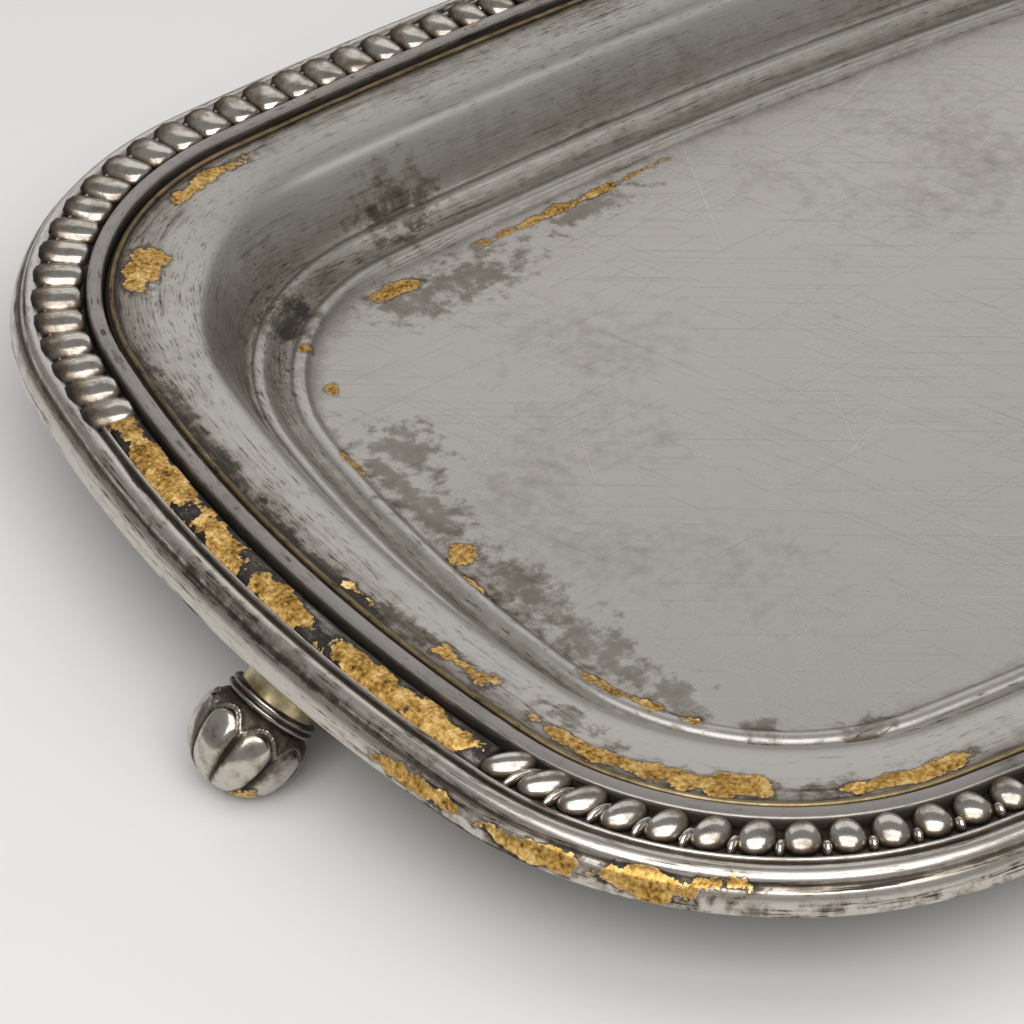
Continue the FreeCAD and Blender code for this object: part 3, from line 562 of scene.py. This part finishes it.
# the beads turn from eggs to lobes over a quarter of the strip, and the first eight lean over
LOBES_FROM = 0.45
LOBES_OVER = 0.25
LEANING = 8
# the strip under and between the beads is painted near black: tarnish with painted shade between the beads
STRIP_SECTION = [
    (1.1, 1.9, 1.0), (1.1, 1.5, 1.0), (1.8, 1.42, 0.95), (4.6, 1.42, 0.95), (5.2, 1.5, 1.0),
    (5.2, 1.9, 1.0),
]
bead_arcs = outline(-BEAD_LINE * MM, CORNER + BEAD_LINE * MM)


def stretch(arcs, first, last):
    """The part of a chain of arcs between two distances along it."""
    kept = []
    travelled = 0.0
    for centre, radius, start, turn in arcs:
        low = max(first - travelled, 0.0)
        high = min(last - travelled, radius * turn)
        if high - low > 0.01 * MM:
            kept.append((centre, radius, start + low / radius, (high - low) / radius))
        travelled += radius * turn
    return kept


def station(arcs, distance):
    """A point on a chain of arcs and the direction outwards there."""
    centre, radius, start, turn = stretch(arcs, distance - 0.02 * MM, distance + 0.02 * MM)[0]
    outwards = Vector((math.cos(start), math.sin(start), 0))
    return centre.to_3d() + outwards * radius, outwards


def dome(bm, layer, place, outwards, across, along, rise, taper=0.0, lean=0.0, bend=0.0,
         full=0.0, end_shade_and_tarnish=0.0, sides=16):
    """Half of an egg standing on the strip: sizes are half widths in millimetres, full squares it."""
    made = bmesh.ops.create_uvsphere(
        bm, u_segments=sides, v_segments=sides // 2 + 2, radius=1)["verts"]
    forwards = Vector((-outwards.y, outwards.x, 0))
    flat = place.z - 0.3 * MM
    for vertex in made:
        x, y, z = vertex.co
        if full and abs(x) < 0.999:
            fuller = 1 + full * ((1 - abs(x)**4) ** (1 / 4) / math.sqrt(1 - x * x) - 1)
            y, z = y * fuller, z * fuller
        along_here = y * (1 - taper * x) * along + lean * x + bend * (1 - x * x)
        vertex.co = place + outwards * (x * across * MM) + forwards * (along_here * MM)
        vertex.co.z = max(flat, place.z + z * rise * (1 - 0.25 * taper * x) * MM)
        # darker towards each bead's foot and at one end: tarnish with painted shade between the beads and
        # on that end
        vertex[layer] = min(1.0, max(0.0, 1.05 - 1.6 * z)) + max(0.0, end_shade_and_tarnish * x - 0.1) * 1.1


def bead_strip(name, node, first, last):
    """A strip with its row of beads, from the broad lobes' end at last to the eggs' at first."""
    bm = sweep(STRIP_SECTION, stretch(bead_arcs, first, last), BEAD_LINE * MM, rounds=1)
    layer = bm.verts.layers.float["tarnish_and_shade"]
    pitch = (last - first) / BEAD_COUNT
    chance = random.Random(7)
    for number in range(BEAD_COUNT):
        broad = min(1.0, max(0.0, ((number + 0.5) / BEAD_COUNT - LOBES_FROM) / LOBES_OVER))
        slant = max(0.0, 1 - number / LEANING)
        at, outwards = station(bead_arcs, first + (number + 0.5) * pitch)
        wide, long, shift = [egg + (lobe - egg) * broad for egg, lobe in zip(EGG, LOBE)]
        at += outwards * (shift * MM)
        at.z = CREST - (1.15 + 0.15 * broad) * MM
        # lobes are darkened at their outer ends and eggs at their inner ends: tarnish with painted shade
        dome(bm, layer, at, outwards,
             across=wide + 0.3 * slant + chance.uniform(-0.05, 0.05),
             along=long + chance.uniform(-0.06, 0.06),
             rise=1.38 + chance.uniform(-0.06, 0.0), taper=-0.14 * (1 - broad), lean=-1.3 * slant,
             full=broad, end_shade_and_tarnish=1.0 if broad > 0.5 else -1.0)
        pearl = 1 - broad
        if number and pearl > 0:
            at, outwards = station(bead_arcs, first + number * pitch)
            at.z = CREST - 1.2 * MM
            at += outwards * ((0.9 - 0.9 * slant) * MM)
            dome(bm, layer, at, outwards,
                 across=(0.9 + 1.6 * slant) * pearl + 0.1, along=0.5 * pearl + 0.1,
                 rise=0.95 * pearl + 0.1, lean=-1.2 * slant, bend=-0.35 * slant, sides=10)
    lay_coordinates(bm)
    return piece(name, bm, bead_plate, "beaded_strip", node)


bead_plate = worn_plate(
    "polished_silver_beads", ("#cdc7bf", "#978b7d", "#56483a", "#191511"), gloss=0.16, dullest=0.5,
    mottle=1.6, streak=0.0, cloud=0.25, wear=0.1)
bead_length = sum(radius * turn for _, radius, _, turn in bead_arcs)
half_rim = bead_length / 2
bead_strip("beads_back", "bead_strip_back", PANEL_NEAR, half_rim - PANEL_FAR)
bead_strip("beads_front", "bead_strip_front", half_rim + PANEL_NEAR, bead_length - PANEL_FAR)

# --- End panels ----------------------------------------------------------------------------------
# A plain convex bar fills the channel between the strips at each end. It was gilt with leaf over a
# dark ground, and most of the leaf has flaked away.

# outset, depth and darkness: the sides of the bar go darker than its top, tarnish with painted shade down
# the sides
PANEL_SECTION = [
    (1.45, 1.9, 1.0), (1.45, 1.2, 0.8), (1.9, 0.6, 0.35), (3.0, 0.35, 0.25), (4.1, 0.4, 0.25),
    (5.1, 0.7, 0.35), (5.6, 1.3, 0.8), (5.6, 1.9, 1.0),
]
panel_plate = worn_plate(
    "flaked_leaf_ground", ("#a9a49e", "#77716b", "#3d3833", "#131110"), gloss=0.34, dullest=0.6,
    mottle=1.3, streak=0.6, cloud=0.4, smear=0.5, wear=0.1)
PANEL_LEAF = [
    (-115.9, 20.1, 19, 4.4), (-117.2, 2.8, 12, 4.2), (-117.3, -9, 9.5, 3.8), (-116, -24, 10, 4.2),
    (-114.6, -33.4, 9.5, 4.2),
]
for side, first, last, sign in (
    ("left", half_rim - PANEL_FAR, half_rim + PANEL_NEAR, 1),
    ("right", bead_length - PANEL_FAR, bead_length + PANEL_NEAR, -1),
):
    arcs = stretch(bead_arcs + bead_arcs, first + 0.1 * MM, last - 0.1 * MM)
    panel = sweep(PANEL_SECTION, arcs, BEAD_LINE * MM)
    lay_coordinates(panel, gilt=[(sign * x, sign * y, length, width) for x, y, length, width in PANEL_LEAF])
    piece(f"panel_{side}", panel, panel_plate, "gilt_panel", f"end_panel_{side}")

# --- Feet ----------------------------------------------------------------------------------------
# Each foot is a cast bud with eight petals, a double collar turned from rod, and a curved bracket
# soldered under the flange. A brass stud through the collar holds them together.

BUD_TILT = math.radians(47)
PETALS = 8
VEINS = 5
# how deep the grooves between petals and the waist above them are, and how high the raised edges
# and the veins stand, in millimetres
GROOVE = 1.2
WAIST = 0.55
PETAL_EDGE = 0.35
VEIN = 0.14
# a spot of gilding: outwards, sideways and up from the bud's middle
GILT_SPOT = (3.6, 4.2, -3.4)
# along the foot's axis from the bud's middle: where the bud ends, and the stud's three stretches
BUD_TOP = 3.5
STUD_IN_BUD = 6
STUD_IN_COLLAR = 1.6
STUD_IN_BRACKET = 4
BUD_SIDE = [
    (4.8, 3.5), (5.7, 3.0), (6.4, 1.65), (6.6, 0.0), (6.4, -2.0), (5.35, -4.25), (3.6, -5.65),
    (1.8, -6.25), (0.0, -6.35),
]
COLLAR_SIDE = [
    (1.6, 3.5), (4.8, 3.5), (5.4, 3.6), (5.5, 4.1), (4.9, 4.25), (4.9, 4.35), (5.35, 4.5), (5.2, 5.0),
    (4.5, 5.1), (1.6, 5.1),
]
bud_plate = worn_plate(
    "cast_silver_plate", ("#c9c2b8", "#8d8376", "#473e34", "#151310"), gloss=0.16, dullest=0.5,
    mottle=1.5, streak=0.0, cloud=0.9, wear=0.08, on_rim=False)
collar_plate = worn_plate(
    "turned_silver_plate", ("#a8a39c", "#6a655e", "#2f2b26", "#100e0c"), gloss=0.22, dullest=0.5,
    mottle=0.5, streak=0.0, cloud=0.3, wear=0.2, on_rim=False, gilded=False)
bracket_plate = worn_plate(
    "dull_gilt_bracket", ("#cdbf9b", "#8f7b52", "#3b3122", "#110e0a"), gloss=0.3, dullest=0.6,
    mottle=1.2, streak=0.0, cloud=1.2, wear=0.15, on_rim=False, gilded=False)
stud_brass = worn_plate(
    "turned_brass_stud", ("#b9975a", "#8d6f3c", "#4f3d20", "#1a140b"), gloss=0.3, dullest=0.5,
    mottle=0.3, streak=0.0, cloud=0.3, on_rim=False, gilded=False)


def turned(points, steps):
    """Spin a section, radius and height in millimetres, all the way about the foot's axis."""
    bm = bmesh.new()
    layer = bm.verts.layers.float.new("tarnish_and_shade")
    section = [bm.verts.new((radius * MM, 0, height * MM)) for radius, height in points]
    edges = [bm.edges.new(pair) for pair in zip(section, section[1:])]
    bmesh.ops.spin(bm, geom=section + edges, cent=(0, 0, 0), axis=(0, 0, 1),
                   angle=2 * math.pi, steps=steps, use_merge=True)
    bmesh.ops.remove_doubles(bm, verts=bm.verts, dist=WELD)
    return bm, layer


def petal_bud(matrix, gilt_spot):
    """The bud: petals swell below the neck, each with a rounded top, a raised edge and veins above."""
    side = rounded(BUD_SIDE, 3)
    bm, layer = turned([(0.0, BUD_TOP)] + side, 192)
    for vertex in bm.verts:
        x, y, z = vertex.co / MM
        radius = math.hypot(x, y)
        if radius < 0.01:
            continue
        turn = math.atan2(y, x) / (2 * math.pi) * PETALS + 0.3
        across = 2 * abs((turn % 1.0) - 0.5)
        swell = max(0.0, 1 - across**4) ** 0.5
        arch = 2.5 - 2.0 * across**2
        under = min(1.0, max(0.0, (arch - z) / 0.8))
        under = under * under * (3 - 2 * under)
        lip = math.exp(-((z - arch - 0.2) / 0.3) ** 2) * PETAL_EDGE
        vein = VEIN * math.cos(turn * 2 * VEINS * math.pi) ** 4 * (1 - under)
        fade = min(1.0, (6.4 + z) / 3.6) if z < -2.8 else 1.0
        sunk = (1 - swell) * GROOVE * under * fade + (1 - under) * WAIST - lip - vein
        if z > BUD_TOP - 0.05:
            sunk = 0.4
        shrink = max(radius - sunk, 0.05) / radius
        vertex.co.x *= shrink
        vertex.co.y *= shrink
        # darker in the grooves between petals and round the waist, lighter on the raised edges and veins:
        # tarnish with painted shade in the grooves
        vertex[layer] = min(1.0, max(0.0, (1 - swell) * 1.6 * under + (1 - under) * 0.6 - lip - vein))
    bmesh.ops.transform(bm, matrix=matrix, verts=bm.verts)
    gilt = bm.verts.layers.float.new("gilt")
    for vertex in bm.verts:
        vertex.co.z = max(vertex.co.z, 0.0)
        vertex[gilt] = 1 - (vertex.co - gilt_spot).length / (2.4 * MM)
    bmesh.ops.recalc_face_normals(bm, faces=bm.faces)
    return bm


for side, angle in (("right", 0), ("back", 90), ("left", 180), ("front", 270)):
    low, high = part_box(f"foot_stud_{side}")
    axis_middle = (low + high) / 2
    outwards = Vector((math.cos(math.radians(angle)), math.sin(math.radians(angle)), 0))
    stud_middle = BUD_TOP + (STUD_IN_COLLAR + STUD_IN_BRACKET - STUD_IN_BUD) / 2
    towards = Vector((0, 0, 1)) * math.cos(BUD_TILT) - outwards * math.sin(BUD_TILT)
    centre = axis_middle - towards * (stud_middle * MM)
    sideways = Vector((0, 0, 1)).cross(outwards)
    matrix = Matrix((sideways.cross(towards), sideways, towards)).transposed().to_4x4()
    matrix.translation = centre
    gilt_spot = centre + (outwards * GILT_SPOT[0] + sideways * GILT_SPOT[1]) * MM
    gilt_spot.z += GILT_SPOT[2] * MM
    bud = petal_bud(matrix, gilt_spot)
    piece(f"foot_bud_piece_{side}", bud, bud_plate, "foot_casting", f"foot_bud_{side}")
    collar, _ = turned(rounded(COLLAR_SIDE + COLLAR_SIDE[:1], 2), 96)
    bmesh.ops.transform(collar, matrix=matrix, verts=collar.verts)
    bmesh.ops.recalc_face_normals(collar, faces=collar.faces)
    piece(f"foot_collar_piece_{side}", collar, collar_plate, "foot_collar", f"foot_collar_{side}")
    for node, finish in ((f"foot_bracket_{side}", bracket_plate), (f"foot_stud_{side}", stud_brass)):
        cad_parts[node].data.materials.clear()
        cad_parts[node].data.materials.append(finish)

# --- Floor, light and camera ---------------------------------------------------------------------
# A pale matt floor, a large soft box in front, a smaller one overhead, a third low behind the tray
# that its flat parts reflect, and a long lens looking down on the near left corner.

floor = bmesh.new()
bmesh.ops.create_grid(floor, x_segments=1, y_segments=1, size=2.5)
floor_mesh = bpy.data.meshes.new("floor")
floor.to_mesh(floor_mesh)
floor.free()
floor_object = bpy.data.objects.new("floor", floor_mesh)
bpy.context.scene.collection.objects.link(floor_object)
paper = bpy.data.materials.new("matt_paper")
paper.use_nodes = True
tree = paper.node_tree
tree.nodes.clear()
place = add(tree, "ShaderNodeTexCoord", {}, output="Object")
fibre = add(tree, "ShaderNodeTexNoise", {"Vector": place, "Scale": 1 / (1.5 * MM), "Detail": 3.0})
normal = add(tree, "ShaderNodeBump", {"Height": fibre, "Strength": 0.3, "Distance": 0.1 * MM})
shader = add(tree, "ShaderNodeBsdfPrincipled", {
    "Base Color": linear("#cdccca"), "Roughness": 0.9, "Normal": normal})
add(tree, "ShaderNodeOutputMaterial", {"Surface": shader})
floor_mesh.materials.append(paper)


def soft_light(name, azimuth, elevation, distance, width, depth, power):
    """A soft box aimed at the tray: degrees anticlockwise from +X and up, metres and watts."""
    data = bpy.data.lights.new(name, "AREA")
    data.shape = "RECTANGLE"
    data.size = width
    data.size_y = depth
    data.energy = power
    made = bpy.data.objects.new(name, data)
    bpy.context.scene.collection.objects.link(made)
    around, up = math.radians(azimuth), math.radians(elevation)
    back = Vector((math.cos(around) * math.cos(up), math.sin(around) * math.cos(up), math.sin(up)))
    sideways = Vector((0, 0, 1)).cross(back).normalized()
    made.matrix_world = Matrix((sideways, back.cross(sideways), back)).transposed().to_4x4()
    made.location = back * distance


soft_light("light_above", 234, 76, 0.7, 1.0, 0.4, 2.4)
soft_light("light_front", 232, 48, 1.2, 1.3, 0.5, 13)
soft_light("light_behind", 54, 30, 1.3, 1.6, 0.8, 2.6)

world = bpy.data.worlds.new("studio")
world.use_nodes = True
world.node_tree.nodes["Background"].inputs["Color"].default_value = linear("#e8e8e8")
world.node_tree.nodes["Background"].inputs["Strength"].default_value = 0.36
bpy.context.scene.world = world
bpy.context.scene.view_settings.view_transform = "Standard"

# the camera stands about 0.3 m above the floor
LOOK_AT = Vector((-88.42, -9.66, 22)) * MM
CAMERA_DISTANCE = 436.64 * MM
CAMERA_YAW = math.radians(53.898)
CAMERA_DOWN = math.radians(38.932)
CAMERA_ROLL = math.radians(0.991)
sight = Vector((
    math.cos(CAMERA_DOWN) * math.cos(CAMERA_YAW), math.cos(CAMERA_DOWN) * math.sin(CAMERA_YAW),
    -math.sin(CAMERA_DOWN)))
lens = bpy.data.cameras.new("camera")
lens.lens = 140.41
lens.sensor_width = 36
lens.clip_start = 0.01
camera = bpy.data.objects.new("camera", lens)
bpy.context.scene.collection.objects.link(camera)
camera.location = LOOK_AT - sight * CAMERA_DISTANCE
camera.rotation_mode = "QUATERNION"
roll = Matrix.Rotation(CAMERA_ROLL, 3, "Z").to_quaternion()
camera.rotation_quaternion = sight.to_track_quat("-Z", "Y") @ roll
bpy.context.scene.camera = camera
